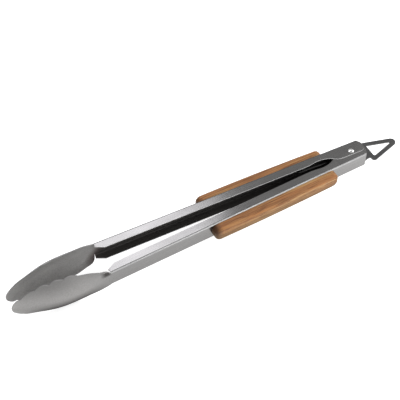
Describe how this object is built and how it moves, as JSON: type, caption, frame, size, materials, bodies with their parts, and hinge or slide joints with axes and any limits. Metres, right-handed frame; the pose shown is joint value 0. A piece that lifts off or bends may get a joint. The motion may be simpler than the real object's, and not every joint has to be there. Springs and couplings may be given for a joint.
{
  "type": "spring loaded kitchen tongs",
  "caption": "Long sheet steel kitchen tongs with scalloped heads, wooden grip scales, a sprung pivot and a sliding lock plate that ends in a triangular hanging loop.",
  "frame": {"origin": "under the middle of the whole object, at the level of its lowest point, the lower edges of the heads", "axes": "+X runs from the heads to the hanging loop, +Z is the pivot's axis, and the inner arm is on the -Y side"},
  "size_m": [0.4466, 0.0506, 0.0425],
  "materials": {
    "arm_steel": "brushed along the arm",
    "grip_wood": "oiled, open grain along the grip",
    "screw_steel": "plain turned",
    "pivot_steel": "plain turned",
    "spring_steel": "drawn wire",
    "lock_steel": "dull stamped sheet"
  },
  "bodies": {
    "pivot_hub": {"pivot_rivet": "pivot_steel", "coil_bush": "pivot_steel", "lower_spacer": "pivot_steel", "torsion_spring": "spring_steel"},
    "outer_side": {"outer_arm": "arm_steel", "outer_grip": "grip_wood", "outer_grip_screw_rear": "screw_steel", "outer_grip_screw_front": "screw_steel"},
    "inner_side": {"inner_arm": "arm_steel", "inner_grip": "grip_wood", "inner_grip_screw_rear": "screw_steel", "inner_grip_screw_front": "screw_steel"},
    "lock": {"lock_slide": "lock_steel"}
  },
  "joints": [
    {"name": "outer_arm_hinge", "type": "hinge", "parent": "pivot_hub", "child": "outer_side", "pos_m": [0.16458, 0.00004, 0.02126], "axis": [0, 0, -1], "range_deg": [-0.9, 8], "stiffness_Nm_per_rad": 0.5, "springref_deg": 13.75, "deforming": ["torsion_spring"]},
    {"name": "inner_arm_hinge", "type": "hinge", "parent": "pivot_hub", "child": "inner_side", "pos_m": [0.16458, 0.00004, 0.02126], "axis": [0, 0, 1], "range_deg": [-0.9, 8]},
    {"name": "lock_travel", "type": "slide", "parent": "pivot_hub", "child": "lock", "axis": [-1, 0, 0], "range_m": [-0.0009, 0.0072]}
  ],
  "couplings": [
    {"joint": "inner_arm_hinge", "follows": "outer_arm_hinge", "ratio": 1},
    {"joint": "lock_travel", "follows": "outer_arm_hinge", "m_per_rad": 0.051}
  ]
}
